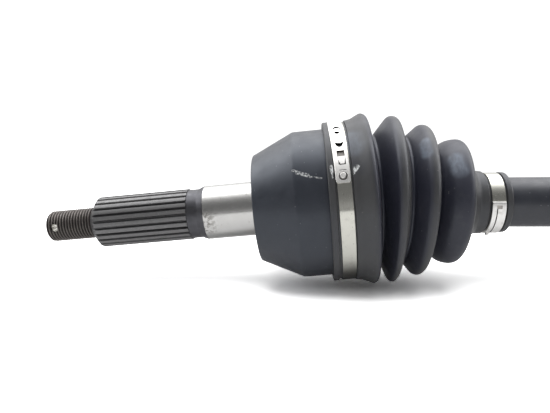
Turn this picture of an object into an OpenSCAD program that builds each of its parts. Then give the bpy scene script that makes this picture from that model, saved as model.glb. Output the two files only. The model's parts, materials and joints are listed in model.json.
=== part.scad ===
// Constant-velocity half shaft for a light vehicle.
// A fixed ball joint carries the wheel stub at the outboard end, and a plunging
// ball joint carries the gearbox stub at the inboard end.
//
// Frame: the bar runs along X, +X inboard and +Z up, and the origin is the
// centre of the outboard joint. The outboard joint rests slightly flexed in the
// XZ plane, with its stub end down.

/* [Layout] */
// Distance between the centres of the two joints
joint_span = 300; // [280:1:420]
// Angle between the wheel stub and the bar at rest, in degrees
rest_flex = 5; // [0:0.5:8]

/* [Wheel stub] */
// Outside diameter of the axle nut thread
thread_d = 16; // [14:1:18]
// Length of the thread
thread_l = 24.4; // [18:0.2:30]
// Diameter of the cotter pin hole
cotter_d = 4; // [3:0.5:4.5]
// Distance of the cotter pin hole from the end of the thread
cotter_inset = 4.5; // [4:0.5:8]
// Teeth on the wheel spline
spline_teeth = 24; // [20:1:28]
// Outside diameter of the wheel spline
spline_d = 26; // [24:0.2:26]
// Length of the wheel spline, with its lead chamfer
spline_l = 50.6; // [30:0.2:60]
// Diameter of the wheel bearing journal
journal_d = 27.5; // [27:0.5:30]
// Length of the wheel bearing journal
journal_l = 26.7; // [15:0.1:30]

/* [Joint housings] */
// Outside diameter of both joint housings
bell_d = 73; // [71:0.5:76]
// Diameter of the outboard housing's flat front face
bell_front_d = 53.4; // [46:0.2:54]
// Distance from the joint centre to the front face
bell_front_x = 30.5; // [29:0.5:34]
// Distance from the joint centre to the outboard housing's open mouth
mouth_x = 15.5; // [14.5:0.5:16]
// Distance from the plunging joint's centre to its housing's open mouth
plunge_mouth_x = 28; // [27:0.5:30]
// Depth of the plunging housing's bore beyond the joint centre
plunge_depth = 32; // [31:0.5:36]

/* [Joint internals] */
// Balls in each joint
ball_count = 6; // [6]
// Diameter of the balls
ball_d = 15.875; // [15.875]
// Radius of the circle of ball centres
ball_pitch_r = 24; // [24]
// Radial play between a ball and its track
track_play = 0.8; // [0.75:0.05:0.9]
// Half width of the cages
cage_half_w = 12; // [11:0.5:12.5]
// Half width of the inner races
race_half_w = 10.5; // [10:0.5:11]

/* [Bar] */
// Diameter of the bar between the boots
bar_d = 24.5; // [23:0.5:25]
// Diameter of the necks beside the joints
neck_d = 21; // [20:0.5:21.5]
// Outside diameter of the bar's end splines
end_spline_d = 22; // [21.5:0.5:22.5]
// Teeth on the bar's end splines
end_spline_teeth = 24; // [20:1:28]

/* [Inboard stub] */
// Diameter of the gearbox seal journal
seal_d = 30; // [28:1:34]
// Length of the gearbox seal journal
seal_l = 20; // [14:1:26]
// Length of the gearbox spline
inboard_spline_l = 34; // [26:1:40]

/* [Boots and clamps] */
// Thickness of the boot rubber
boot_wall = 2; // [1.6:0.1:2.2]
// Width of the clamp bands
band_w = 6.4; // [5:0.1:6.8]
// Thickness of the clamp bands
band_t = 0.6; // [0.4:0.1:0.8]

/* [Hidden] */
$fn = 96;

thread_r = thread_d / 2;
spline_r = spline_d / 2;
journal_r = journal_d / 2;
bell_r = bell_d / 2;
ball_r = ball_d / 2;
bar_r = bar_d / 2;
neck_r = neck_d / 2;
end_spline_r = end_spline_d / 2;
seal_r = seal_d / 2;

// Spherical seats: race inside cage inside housing, with running gaps
race_r = 23.4;
cage_inner_r = race_r + 0.15;
cage_outer_r = 27.6;
cavity_r = cage_outer_r + 0.15;
track_r = ball_r + track_play;
pitch_step = 360 / ball_count;

// Stations along the wheel stub, counted outboard from the joint centre
journal_end = bell_front_x + journal_l;
ramp_end = journal_end + 3;
spline_end = ramp_end + 5.2;
spline_tip = spline_end + spline_l;
thread_tip = spline_tip + thread_l;
lead_chamfer = 3.6;
spline_depth = 1.6;
spline_root_r = spline_r - spline_depth;
spline_core_r = spline_root_r - 0.2;
undercut_r = spline_r - 0.5;
tip_chamfer = 1;
front_r = bell_front_d / 2;
cone_end_x = 9.9;
cavity_floor_x = 24.5;
track_floor_angle = 42;
track_mouth_angle = 64;
race_track_angle = 60;
// Shallow relief under each large clamp, so that the cuff can't creep off
relief_depth = 0.6;
relief_half_w = 2;

// Stations along the gearbox stub, counted inboard from its joint centre
cup_wall_end = plunge_depth - 2;
cup_base_x = plunge_depth + 7;
cup_base_r = 27;
seal_end = cup_base_x + seal_l;
inboard_spline_start = seal_end + 4;
inboard_tip = inboard_spline_start + inboard_spline_l;
stub_groove_x = inboard_tip - 5;
stub_groove_r = spline_r - 2.6;
stub_chamfer = 1.8;
ring_fit = 0.1;
ring_w = 1.6;
wire_ring_x = plunge_mouth_x - 2.5;

// Splines: how much of the pitch a tooth fills at its tip and at its root
tooth_tip_share = 0.58;
tooth_root_share = 0.8;

// Bar ends and their snap rings, counted from the joint centre
end_spline_depth = 1;
end_spline_fit = 0.05;
end_spline_x = race_half_w + 4;
race_ring_x = race_half_w + 0.15;
neck_end_x = 40;
bar_start_x = 54;

// Boot: each fold is [distance from the large cuff's joint centre, radius, rounding]
crests = [[23.7, 42.3, 2.2], [35.6, 41.1, 2.3], [49.1, 37.2, 2.9], [64.9, 30.8, 3.9]];
valleys = [[28.1, 31.3, 0.9], [41.4, 30.8, 0.9], [54, 27, 0.9]];
// Slope of a fold's two flanks from square, and where the smooth cuff runs into the first
flank_in = 19;
flank_out = 7;
shoulder_start = 105;
// How the folds lie while the joint rests flexed, by station: the lift of a fold's centre
// as the arm in mm that the flex acts on, and its lean as a share of the flex
fold_lift_arm = [[0, 0], [24, 24], [35.5, 20.4], [49.1, 14.3], [64.9, 9.1], [78, 0]];
fold_lean = [[0, -1], [24, -1], [35.5, -0.02], [49.1, 0.46], [64.9, 0.7], [78, 0]];
cuff_start = 4.1;
cuff_groove_start = 7.1;
cuff_groove_end = 14.8;
cuff_lip_r = 39.6;
cuff_groove_r = 38.8;
cuff_fit_gap = 0.1;
boot_sides = 40;
facet_share = cos(180 / boot_sides);
small_groove_start = 80.3;
small_groove_end = 87.9;
small_lip_end = 90.6;
small_groove_r = 14;
small_lip_r = 14.9;
neck_outer_r = 15.4;
small_bore_depth = 80;
large_band_x = (cuff_groove_start + cuff_groove_end) / 2;
small_band_x = (small_groove_start + small_groove_end) / 2;
// The plunging joint uses the same boot, shifted to its deeper mouth
inboard_boot_shift = plunge_mouth_x - mouth_x;
inboard_band_x = -inboard_boot_shift - large_band_x;
lap_angle = 105;

dark_steel = "#4b4a4a";
black_paint = "#2b2e31";
rubber = "#36363a";
stainless = "#d5d7d4";
bearing_steel = "#b9bcbf";

// Turns the children about the outboard joint centre into the stub's own axis
module stub_frame(share = 1) {
    rotate([0, -rest_flex * share, 0]) children();
}

// Places children, drawn about the plunging joint's centre
module inboard_frame() {
    translate([joint_span, 0, 0]) children();
}

// Revolves a [radius, x] outline about the X axis
module turned() {
    rotate([0, 90, 0]) rotate_extrude() children();
}

// A ring about X between two radii and two stations
module ring(inner, outer, x0, x1) {
    turned() polygon([[inner, x0], [outer, x0], [outer, x1], [inner, x1]]);
}

// Points of an arc about [r, x] in an outline, from one angle to another
function arc(r, x, rounding, from, to, steps) = [
    for (i = [0:steps])
        let (a = from + (to - from) * i / steps)
        [r + rounding * sin(a), x + rounding * cos(a)]
];

// Outline of a straight-sided spline, teeth standing on a root circle
function spline_outline(teeth, tip_r, root_r, tip_share, root_share) = [
    for (i = [0:teeth - 1])
        for (k = [[-root_share, root_r], [-tip_share, tip_r], [tip_share, tip_r], [root_share, root_r]])
            let (a = (i + k[0] / 2) * 360 / teeth)
            [k[1] * cos(a), k[1] * sin(a)]
];

// An external spline along X
module spline(teeth, tip_r, root_r, x0, x1) {
    translate([x0, 0, 0])
        rotate([0, 90, 0])
            linear_extrude(x1 - x0)
                polygon(spline_outline(teeth, tip_r, root_r, tooth_tip_share, tooth_root_share));
}

// One curved ball track about the joint centre, from one angle off the ball plane to another
module curved_track(from, to) {
    rotate([90, 0, 0])
        rotate([0, 0, 90 - to])
            rotate_extrude(angle = to - from)
                translate([ball_pitch_r, 0]) circle(track_r);
}

// Repeats children once for each ball, about X
module each_ball() {
    for (i = [0:ball_count - 1])
        rotate([i * pitch_step, 0, 0]) children();
}

// Outer forging of the fixed joint: threaded and splined stub, journal and bell
module outboard_housing() {
    color(black_paint) stub_frame() difference() {
        union() {
            turned() polygon([
                [0, -thread_tip],
                [thread_r - tip_chamfer, -thread_tip],
                [thread_r, -thread_tip + tip_chamfer],
                [thread_r, -spline_tip + tip_chamfer],
                [spline_core_r, -spline_tip + lead_chamfer],
                [spline_core_r, -spline_end],
                [undercut_r, -spline_end],
                [undercut_r, -ramp_end],
                [journal_r, -journal_end],
                [journal_r, -bell_front_x],
                [front_r - 1.2, -bell_front_x],
                [front_r, -bell_front_x + 1],
                [bell_r - 0.9, -cone_end_x - 1.5],
                [bell_r - 0.2, -cone_end_x],
                [bell_r, -cone_end_x + 1.5],
                [bell_r, mouth_x - 0.8],
                [bell_r - 0.8, mouth_x],
                [0, mouth_x]
            ]);
            intersection() {
                spline(spline_teeth, spline_r, spline_root_r, -spline_tip, -spline_end);
                turned() polygon([
                    [0, -spline_tip],
                    [thread_r + 0.3, -spline_tip],
                    [spline_r, -spline_tip + lead_chamfer],
                    [spline_r, -spline_end],
                    [0, -spline_end]
                ]);
            }
        }
        intersection() {
            sphere(cavity_r);
            translate([-cavity_floor_x, -bell_r, -bell_r]) cube([2 * bell_r, 2 * bell_r, 2 * bell_r]);
        }
        mouth_flare();
        each_ball() curved_track(-track_floor_angle, track_mouth_angle);
        cotter_hole();
        ring(bell_r - relief_depth, bell_r + 1, large_band_x - relief_half_w, large_band_x + relief_half_w);
    }
}

// Flared opening that clears the bar at full flex: a 45 degree cone that starts
// inside the spherical seat and crosses it at flare_x
module mouth_flare() {
    flare_x = 11.5;
    lead = 2;
    flare_r = sqrt(pow(cavity_r, 2) - pow(flare_x, 2));
    turned() polygon([
        [0, flare_x - lead],
        [flare_r - lead, flare_x - lead],
        [flare_r + mouth_x - flare_x + 1, mouth_x + 1],
        [0, mouth_x + 1]
    ]);
}

// Cross hole for the cotter pin that locks the axle nut
module cotter_hole() {
    translate([-thread_tip + cotter_inset, 0, 0])
        rotate([90, 0, 0])
            cylinder(h = 3 * thread_r, r = cotter_d / 2, center = true);
}

// Ball cage: a spherical band with one window for each ball
module cage() {
    window_share = 0.78;
    window_l = ball_pitch_r * window_share;
    window_fit = 0.05;
    difference() {
        intersection() {
            sphere(cage_outer_r);
            ring(0, cage_outer_r + 1, -cage_half_w, cage_half_w);
        }
        sphere(cage_inner_r);
        each_ball()
            translate([-ball_r - window_fit, -window_l / 2, 0])
                cube([ball_d + 2 * window_fit, window_l, cage_outer_r + 1]);
    }
}

// The set of balls
module balls() {
    each_ball() translate([0, 0, ball_pitch_r]) sphere(ball_r);
}

// Inner race: a spherical hub with curved tracks and a splined bore
module inner_race() {
    difference() {
        intersection() {
            sphere(race_r);
            ring(0, race_r + 1, -race_half_w, race_half_w);
        }
        each_ball() curved_track(-race_track_angle, race_track_angle);
        spline(
            end_spline_teeth,
            end_spline_r + end_spline_fit,
            end_spline_r - end_spline_depth + end_spline_fit,
            -race_half_w - 1,
            race_half_w + 1
        );
    }
}

// An open snap ring about X with a gap at its lowest point
module snap_ring(inner, outer, x0, x1, gap) {
    difference() {
        ring(inner, outer, x0, x1);
        translate([x0 - 1, -gap / 2, -outer - 1]) cube([x1 - x0 + 2, gap, outer]);
    }
}

// Snap ring on the free end of the bar, outside the race
module race_circlip() {
    snap_ring(end_spline_r - 1.3, end_spline_r + 1.2, -race_ring_x - ring_w, -race_ring_x, 5);
}

// Stop ring on the bar, on the neck side of the race
module stop_ring() {
    snap_ring(end_spline_r - 1.3, end_spline_r + 1.6, race_ring_x, race_ring_x + ring_w, 5);
}

// One end of the bar, drawn outboard end first from its joint centre at x = 0
module bar_end() {
    core_r = end_spline_r - end_spline_depth;
    groove_r = end_spline_r - 1.4;
    groove_fit = 0.1;
    difference() {
        union() {
            turned() polygon([
                [0, -end_spline_x],
                [core_r - 0.5, -end_spline_x],
                [core_r, -end_spline_x + 0.5],
                [core_r, end_spline_x],
                [neck_r, end_spline_x + 1.5],
                [neck_r, neck_end_x],
                [bar_r, bar_start_x],
                [bar_r, joint_span / 2],
                [0, joint_span / 2]
            ]);
            intersection() {
                spline(end_spline_teeth, end_spline_r, core_r, -end_spline_x, end_spline_x);
                ring(0, end_spline_r + 1, -end_spline_x + 0.5, end_spline_x);
            }
        }
        ring(groove_r, end_spline_r + 1, -race_ring_x - ring_w - groove_fit, -race_ring_x + groove_fit);
        ring(groove_r, end_spline_r + 1, race_ring_x - groove_fit, race_ring_x + ring_w + groove_fit);
    }
}

// The solid bar with a splined end for each race
module axle_shaft() {
    color(black_paint) {
        bar_end();
        inboard_frame() mirror([1, 0, 0]) bar_end();
    }
}

// Outer forging of the plunging joint: straight-track cup with the gearbox stub
module inboard_housing() {
    groove_half_w = ring_w / 2 + ring_fit;
    color(black_paint) inboard_frame() difference() {
        union() {
            turned() polygon([
                [0, -plunge_mouth_x],
                [bell_r - 0.8, -plunge_mouth_x],
                [bell_r, -plunge_mouth_x + 0.8],
                [bell_r, cup_wall_end],
                [cup_base_r + 1, cup_base_x - 1],
                [cup_base_r - 0.5, cup_base_x],
                [seal_r, cup_base_x],
                [seal_r, seal_end],
                [spline_core_r, inboard_spline_start],
                [spline_core_r, inboard_tip - stub_chamfer],
                [spline_core_r - stub_chamfer, inboard_tip],
                [0, inboard_tip]
            ]);
            intersection() {
                spline(spline_teeth, spline_r, spline_root_r, inboard_spline_start, inboard_tip);
                turned() polygon([
                    [0, inboard_spline_start],
                    [spline_r, inboard_spline_start],
                    [spline_r, inboard_tip - stub_chamfer],
                    [spline_r - stub_chamfer, inboard_tip],
                    [0, inboard_tip]
                ]);
            }
        }
        ring(0, cavity_r, -plunge_mouth_x - 1, plunge_depth);
        each_ball()
            translate([-plunge_mouth_x - 1, 0, ball_pitch_r])
                rotate([0, 90, 0])
                    cylinder(h = plunge_mouth_x + plunge_depth - 3, r = track_r);
        ring(cavity_r - 1, cavity_r + 1, -wire_ring_x - groove_half_w, -wire_ring_x + groove_half_w);
        ring(stub_groove_r, spline_r + 1, stub_groove_x - groove_half_w, stub_groove_x + groove_half_w);
        ring(bell_r - relief_depth, bell_r + 1, inboard_band_x - relief_half_w, inboard_band_x + relief_half_w);
    }
}

// Rounded top and bottom of the boot's folds; inset moves the outline inwards by the wall
function crest_arc(i, inset) =
    let (x = crests[i][0], r = crests[i][1], rounding = crests[i][2])
    arc(r - rounding, x, rounding - inset, i == 0 ? shoulder_start : 180 - flank_in, flank_out, 4);
function valley_arc(i, inset) =
    let (x = valleys[i][0], r = valleys[i][1], rounding = valleys[i][2])
    arc(r + rounding, x, rounding + inset, 180 + flank_out, 360 - flank_in, 2);

// Large cuff outline, from its open lip to the first valley
function cuff_outside() = concat(
    [
        [cuff_lip_r - 0.6, cuff_start],
        [cuff_lip_r, cuff_start + 0.6],
        [cuff_lip_r, cuff_groove_start - 0.3],
        [cuff_groove_r, cuff_groove_start],
        [cuff_groove_r, cuff_groove_end],
        [cuff_groove_r + 0.7, cuff_groove_end + 0.3]
    ],
    crest_arc(0, 0)
);
function cuff_inside() = concat(
    [
        [(bell_r + cuff_fit_gap) / facet_share, cuff_start],
        [(bell_r + cuff_fit_gap) / facet_share, mouth_x + 1]
    ],
    crest_arc(0, boot_wall)
);

// Neck and small cuff outline, from the last crest to the end of the small lip
function neck_outside() = [
    [neck_outer_r + 3.6, 72.2],
    [neck_outer_r + 0.3, 75.5],
    [neck_outer_r, small_groove_start - 0.6],
    [small_groove_r, small_groove_start],
    [small_groove_r, small_groove_end],
    [small_lip_r, small_groove_end + 0.4],
    [small_lip_r, small_lip_end - 0.6],
    [small_lip_r - 0.6, small_lip_end]
];
function neck_inside() = [
    [neck_outer_r - 0.2, 73],
    [(bar_r + cuff_fit_gap) / facet_share, small_bore_depth - 2],
    [(bar_r + cuff_fit_gap) / facet_share, small_lip_end]
];

// Closed outline of the boot wall: outside towards the small cuff, then back inside
function boot_outline() = concat(
    cuff_outside(),
    [for (i = [1:3]) each concat(valley_arc(i - 1, 0), crest_arc(i, 0))],
    neck_outside(),
    reversed(concat(
        cuff_inside(),
        [for (i = [1:3]) each concat(valley_arc(i - 1, boot_wall), crest_arc(i, boot_wall))],
        neck_inside()
    ))
);

function reversed(points) = [for (i = [len(points) - 1:-1:0]) points[i]];

// A point of the boot at station x, radius r and angle a about X, as the folds lie at rest
function bent_point(r, x, a) =
    let (
        lift = lookup(x, fold_lift_arm) * sin(rest_flex),
        lean = lookup(x, fold_lean) * rest_flex,
        z = r * cos(a)
    )
    [x + z * sin(lean), r * sin(a), lift + z * cos(lean)];

// Folded boot that follows the flexed joint from the bell down to the bar
module flexed_boot() {
    outline = boot_outline();
    points = len(outline);
    polyhedron(
        points = [
            for (p = outline)
                for (k = [0:boot_sides - 1])
                    bent_point(p[0], p[1], k * 360 / boot_sides)
        ],
        faces = [
            for (i = [0:points - 1])
                for (k = [0:boot_sides - 1])
                    let (
                        next = (i + 1) % points,
                        side = (k + 1) % boot_sides,
                        a = i * boot_sides + k,
                        b = i * boot_sides + side,
                        c = next * boot_sides + side,
                        d = next * boot_sides + k
                    )
                    each [[a, b, c], [a, c, d]]
        ]
    );
}

// The same boot on a straight joint
module straight_boot() {
    turned() polygon(boot_outline());
}

// Clamp band about X with a second layer where the strap laps over itself
module clamp(inner, x) {
    ring(inner, inner + band_t, x - band_w / 2, x + band_w / 2);
    rotate([0, 90, 0])
        rotate([0, 0, 90])
            rotate_extrude(angle = lap_angle)
                translate([inner + band_t - 0.01, x - band_w / 2])
                    square([band_t, band_w]);
}

module large_clamp() {
    clamp(cuff_groove_r + 0.05, large_band_x);
}

module small_clamp() {
    clamp(small_groove_r + 0.05, small_band_x);
}

// Mirrors the outboard boot parts onto the plunging joint
module inboard_boot_frame() {
    translate([joint_span - inboard_boot_shift, 0, 0]) mirror([1, 0, 0]) children();
}

module outboard_cage() {
    color(bearing_steel) stub_frame(0.5) cage();
}

module outboard_balls() {
    color(bearing_steel) stub_frame(0.5) balls();
}

module outboard_inner_race() {
    color(bearing_steel) inner_race();
}

module outboard_race_circlip() {
    color(dark_steel) race_circlip();
}

module outboard_stop_ring() {
    color(dark_steel) stop_ring();
}

module outboard_boot() {
    color(rubber) flexed_boot();
}

module outboard_large_clamp() {
    color(stainless) stub_frame() large_clamp();
}

module outboard_small_clamp() {
    color(stainless) small_clamp();
}

module inboard_cage() {
    color(bearing_steel) inboard_frame() cage();
}

module inboard_balls() {
    color(bearing_steel) inboard_frame() balls();
}

module inboard_inner_race() {
    color(bearing_steel) inboard_frame() inner_race();
}

module inboard_race_circlip() {
    color(dark_steel) inboard_frame() mirror([1, 0, 0]) race_circlip();
}

module inboard_stop_ring() {
    color(dark_steel) inboard_frame() mirror([1, 0, 0]) stop_ring();
}

module inboard_wire_ring() {
    color(dark_steel) inboard_frame()
        snap_ring(cavity_r - 0.7, cavity_r + 0.8, -wire_ring_x - ring_w / 2, -wire_ring_x + ring_w / 2, 8);
}

module inboard_boot() {
    color(rubber) inboard_boot_frame() straight_boot();
}

module inboard_large_clamp() {
    color(stainless) inboard_boot_frame() large_clamp();
}

module inboard_small_clamp() {
    color(stainless) inboard_boot_frame() small_clamp();
}

module inboard_stub_circlip() {
    color(dark_steel) inboard_frame()
        snap_ring(spline_r - 2.5, spline_r - 0.3, stub_groove_x - ring_w / 2, stub_groove_x + ring_w / 2, 4);
}

axle_shaft();
outboard_housing();
outboard_cage();
outboard_balls();
outboard_inner_race();
outboard_race_circlip();
outboard_stop_ring();
outboard_boot();
outboard_large_clamp();
outboard_small_clamp();
inboard_housing();
inboard_cage();
inboard_balls();
inboard_inner_race();
inboard_race_circlip();
inboard_stop_ring();
inboard_wire_ring();
inboard_boot();
inboard_large_clamp();
inboard_small_clamp();
inboard_stub_circlip();
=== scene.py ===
"""Looks of a constant-velocity half shaft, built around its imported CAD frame.

Pieces are drawn in millimetres about a joint centre, with x along the part's own axis
(towards the gearbox) and z up, then placed in the frame. Angles round a piece are in
degrees from its top, towards -Y. An outline is a row of points (x, radius).
"""

import json
import math

import bmesh
import bpy
import numpy as np
from mathutils import Matrix, Vector


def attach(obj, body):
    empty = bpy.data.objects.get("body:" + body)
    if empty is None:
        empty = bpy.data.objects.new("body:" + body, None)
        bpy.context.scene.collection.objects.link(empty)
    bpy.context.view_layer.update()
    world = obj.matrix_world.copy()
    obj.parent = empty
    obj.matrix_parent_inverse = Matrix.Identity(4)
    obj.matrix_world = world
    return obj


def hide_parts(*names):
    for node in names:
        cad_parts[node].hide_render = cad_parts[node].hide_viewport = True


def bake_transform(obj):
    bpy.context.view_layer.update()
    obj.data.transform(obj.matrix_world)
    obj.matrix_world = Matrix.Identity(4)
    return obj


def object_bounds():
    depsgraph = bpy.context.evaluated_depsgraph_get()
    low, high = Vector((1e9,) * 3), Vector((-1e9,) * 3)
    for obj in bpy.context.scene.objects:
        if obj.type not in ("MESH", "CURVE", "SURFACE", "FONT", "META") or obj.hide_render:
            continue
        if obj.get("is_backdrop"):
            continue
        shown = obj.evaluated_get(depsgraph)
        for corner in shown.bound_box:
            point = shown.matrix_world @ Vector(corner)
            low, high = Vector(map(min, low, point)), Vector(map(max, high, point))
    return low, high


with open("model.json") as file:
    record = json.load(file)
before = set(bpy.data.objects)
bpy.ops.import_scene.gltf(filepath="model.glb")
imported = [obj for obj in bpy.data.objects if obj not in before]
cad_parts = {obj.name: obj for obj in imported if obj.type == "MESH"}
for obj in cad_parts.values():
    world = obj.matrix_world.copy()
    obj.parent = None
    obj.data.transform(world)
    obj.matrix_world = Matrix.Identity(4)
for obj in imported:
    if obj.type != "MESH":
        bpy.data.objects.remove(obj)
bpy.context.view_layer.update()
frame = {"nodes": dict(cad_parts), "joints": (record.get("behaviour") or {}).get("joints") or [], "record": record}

MM = 0.001
MOUNTS = {mount["name"]: mount for mount in frame["record"]["mounts"]}
JOINTS = {joint["name"]: joint for joint in frame["joints"]}

# Layout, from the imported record
STUB_OUT = np.array(MOUNTS["wheel_bearing_journal"]["axis"], float)
REST_FLEX = math.degrees(math.asin(-STUB_OUT[2] / np.linalg.norm(STUB_OUT)))
JOINT_SPAN = JOINTS["inboard_flex"]["pos_m"][0] / MM

# Wheel stub, stations counted from the outboard joint centre
THREAD_TIP = -140.4
THREAD_R = 8.0
THREAD_PITCH = 1.5
THREAD_DEPTH = 0.92
COTTER_X = -135.9
COTTER_R = 2.0
SPLINE_TIP = -116.0
SPLINE_LEAD = 3.6
SPLINE_END = -65.4
SPLINE_R = 13.0
SPLINE_DEPTH = 1.6
SPLINE_TEETH = 24
# Half a tooth from its middle: share of the half pitch, share of the depth
SPLINE_FLANK = ((0, 0), (0.55, 0.02), (0.6, 0.16), (0.76, 0.88), (0.82, 1.0), (1, 1.03))
UNDERCUT_R = 12.5
UNDERCUT_END = -60.2
JOURNAL_START = -57.2
JOURNAL_R = 13.75
# Turned pieces of the stubs close here, inside their neighbours
CORE_R = 4.0

# Housings
BELL_R = 36.5
BELL_FRONT_X = -30.5
BELL_FRONT_R = 26.7
CONE_END_X = -9.9
MOUTH_X = 15.5
CAVITY_R = 27.75
CAVITY_FLOOR_X = -24.5
FLARE_X = 11.5
TRACK_R = 8.74
BALL_PITCH_R = 24.0
BALLS = 6
# Angles from square between which the fixed joint's tracks run
TRACK_SPAN = (-42, 64)
# The housings' outlines close here, on their floors
CAVITY_CORE_R = 6.0
CUP_MOUTH_X = -28.0
CUP_WALL_END = 30.0
CUP_FLOOR_X = 32.0
CUP_BASE_X = 39.0
CUP_BASE_R = 27.0
SEAL_R = 15.0
SEAL_END = 59.0
INBOARD_SPLINE_X = 63.0
INBOARD_TIP = 97.0
STUB_GROOVE_X = 92.0
WIRE_GROOVE_X = -25.5

# Boots: each fold is (station, radius, rounding), from the large cuff's joint centre
CRESTS = ((23.7, 42.3, 2.2), (35.6, 41.1, 2.3), (49.1, 37.2, 2.9), (65.3, 30.7, 3.9))
VALLEYS = ((28.1, 31.3, 0.9), (41.4, 30.8, 0.9), (54.2, 25.2, 0.9))
# The plunging joint's boot is shallower, to clear the bar when the joint flexes
PLUNGE_VALLEYS = ((28.1, 32.8, 0.9), (41.4, 35.0, 0.9), (53.2, 28.4, 0.9))
# How each fold's top rises: start angle in degrees, then its stretch along and across
RISES = ((105, 1.0, 1.0), (145, 1.15, 1.6), (135, 1.2, 1.4), (140, 2.3, 1.6))
# Slopes of a valley's flanks from square
FLANK_IN = 19.0
FLANK_OUT = 7.0
BOOT_WALL = 1.6
CUFF_START = 4.6
CUFF_INSIDE_R = BELL_R + 0.15
GROOVE = (7.6, 15.2)
GROOVE_R = 38.8
LIP_R = 39.6
SMALL_GROOVE = (80.3, 87.9)
SMALL_GROOVE_R = 14.0
SMALL_LIP_R = 14.9
SMALL_LIP_END = 91.0
NECK_R = 15.4
BAR_R = 12.25
NECK_INSIDE_R = BAR_R + 0.12
BOOT_SHIFT = 12.5
PLUNGE_BEND_START = 17.5
PLUNGE_BEND_END = 71.0
# How the folds ride between the flexed stub and the bar: station, lift of the fold's
# centre in mm as a multiple of sin(rest flex), and lean as a share of the rest flex
FOLD_RIDE = ((0.0, 0.0, -0.85), (18.0, 18.0, -0.9), (24.0, 24.0, -0.95), (35.5, 20.4, -0.02),
             (49.1, 14.3, 0.46), (65.3, 5.4, 0.7), (78.0, 0.0, 0.0), (95.0, 0.0, 0.0))
# From here on the boot no longer turns with the stub
CUFF_HOLD_END = 24.0

# Scratch in the bell's paint: x and angle of each stroke's start and end, width, strength
BELL_SCRATCH = (
    (-10.2, 57.6, -8.2, 59.0, 0.8, 1.0),
    (-8.8, 58.6, -3.4, 61.9, 0.55, 0.9),
    (-8.6, 60.0, -2.7, 63.8, 0.75, 1.0),
    (-2.7, 63.6, 2.2, 65.6, 0.5, 0.8),
)
# Scuffs on the cuff's lip: x and angle of each stroke's start and end, width
LIP_SCUFFS = (
    (6.5, 59.8, 6.3, 62.2, 0.9),
    (6.2, 62.4, 6.6, 64.6, 0.6),
    (6.9, 60.8, 6.9, 64.0, 0.4),
    (6.6, 65.4, 6.7, 67.6, 0.35),
)
# Painted soft highlights on the rubber: radius, x and angle of start and end, size, strength
BOOT_PAINTED_HIGHLIGHTS = (
    (40.2, 16.5, 38.0, 17.5, 47.0, 6.5, 0.3),
    (35.5, 46.4, 36.0, 46.8, 48.0, 3.6, 0.65),
    (30.0, 60.0, 42.0, 61.5, 55.0, 5.0, 0.65),
)

# The rubber pales between these stations, towards the cuff and towards the neck: partly wear, partly painted light
CUFF_WEAR_AND_LIGHT = (25.5, 23.0)
NECK_WEAR_AND_LIGHT = (66.0, 71.0)

# Clamp bands
BAND_W = 6.4
BAND_T = 0.6
LARGE_BAND_X = 11.6
SMALL_BAND_X = 84.1
# Angles at which a band's outer layer ends and starts, and its hidden tail's
LARGE_LAP = (71.5, -24.0, -372.0)
SMALL_LAP = (205.0, 85.5, -250.0)


# --- Placing, from each piece's own frame to the frame, in mm ---

STUB = Matrix.Rotation(math.radians(-REST_FLEX), 4, "Y")
BAR = Matrix()
GEARBOX = Matrix.Translation((JOINT_SPAN, 0, 0))
# The plunging joint's boot and clamps are drawn like the outboard ones
MIRRORED = Matrix.Translation((JOINT_SPAN - BOOT_SHIFT, 0, 0)) @ Matrix.Scale(-1, 4, (1, 0, 0))


# --- Outlines ---

def unit(vector):
    return vector / np.linalg.norm(vector)


def rounded(corners, steps=5):
    """Outline through corners (x, r) or (x, r, fillet radius), with arcs at the fillets."""
    most_of_side = 0.45
    guard_share = 0.12
    points = [np.array(corner[:2], float) for corner in corners]
    out = [points[0]]
    for before, here, after, corner in zip(points, points[1:], points[2:], corners[1:]):
        if len(corner) < 3:
            out.append(here)
            continue
        back, ahead = before - here, after - here
        room = most_of_side * min(np.linalg.norm(back), np.linalg.norm(ahead))
        back, ahead = unit(back), unit(ahead)
        half = math.acos(np.clip(back @ ahead, -1, 1)) / 2
        reach = min(corner[2] / math.tan(half), room)
        start, end = here + back * reach, here + ahead * reach
        centre = here + unit(back + ahead) * reach / math.cos(half)
        sweep = math.pi - 2 * half
        # Points just off the arc's ends keep the flats' shading flat
        guard = guard_share * reach
        out.append(start + back * guard)
        for t in np.linspace(0, 1, steps + 1):
            a = math.sin((1 - t) * sweep) / math.sin(sweep)
            b = math.sin(t * sweep) / math.sin(sweep)
            out.append(centre + (start - centre) * a + (end - centre) * b)
        out.append(end + ahead * guard)
    return np.array([*out, points[-1]])


def arc(x, r, radius, a0, a1, steps):
    """Arc points about (x, r), angles in degrees from +x towards +r."""
    a = np.radians(np.linspace(a0, a1, steps + 1))
    return np.stack([x + radius * np.cos(a), r + radius * np.sin(a)], -1)


def smooth_curve(stations, values, x):
    """Smooth curve through the values (a cubic with averaged slopes)."""
    s, v = np.array(stations, float), np.array(values, float)
    slope = np.gradient(v, s)
    i = np.clip(np.searchsorted(s, x, side="right") - 1, 0, len(s) - 2)
    step = s[i + 1] - s[i]
    t = np.clip((x - s[i]) / step, 0, 1)
    return (
        (1 + 2 * t) * (1 - t) ** 2 * v[i]
        + t * (1 - t) ** 2 * step * slope[i]
        + t * t * (3 - 2 * t) * v[i + 1]
        + t * t * (t - 1) * step * slope[i + 1]
    )


# --- Meshes ---

def angles(sides):
    return np.arange(sides) * 2 * math.pi / sides


def turn(outline, sides):
    """Rings of an (x, r) outline revolved about x."""
    x, r = outline[:, 0], outline[:, 1]
    return shaped(x, np.repeat(r[:, None], sides, 1), angles(sides))


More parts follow.
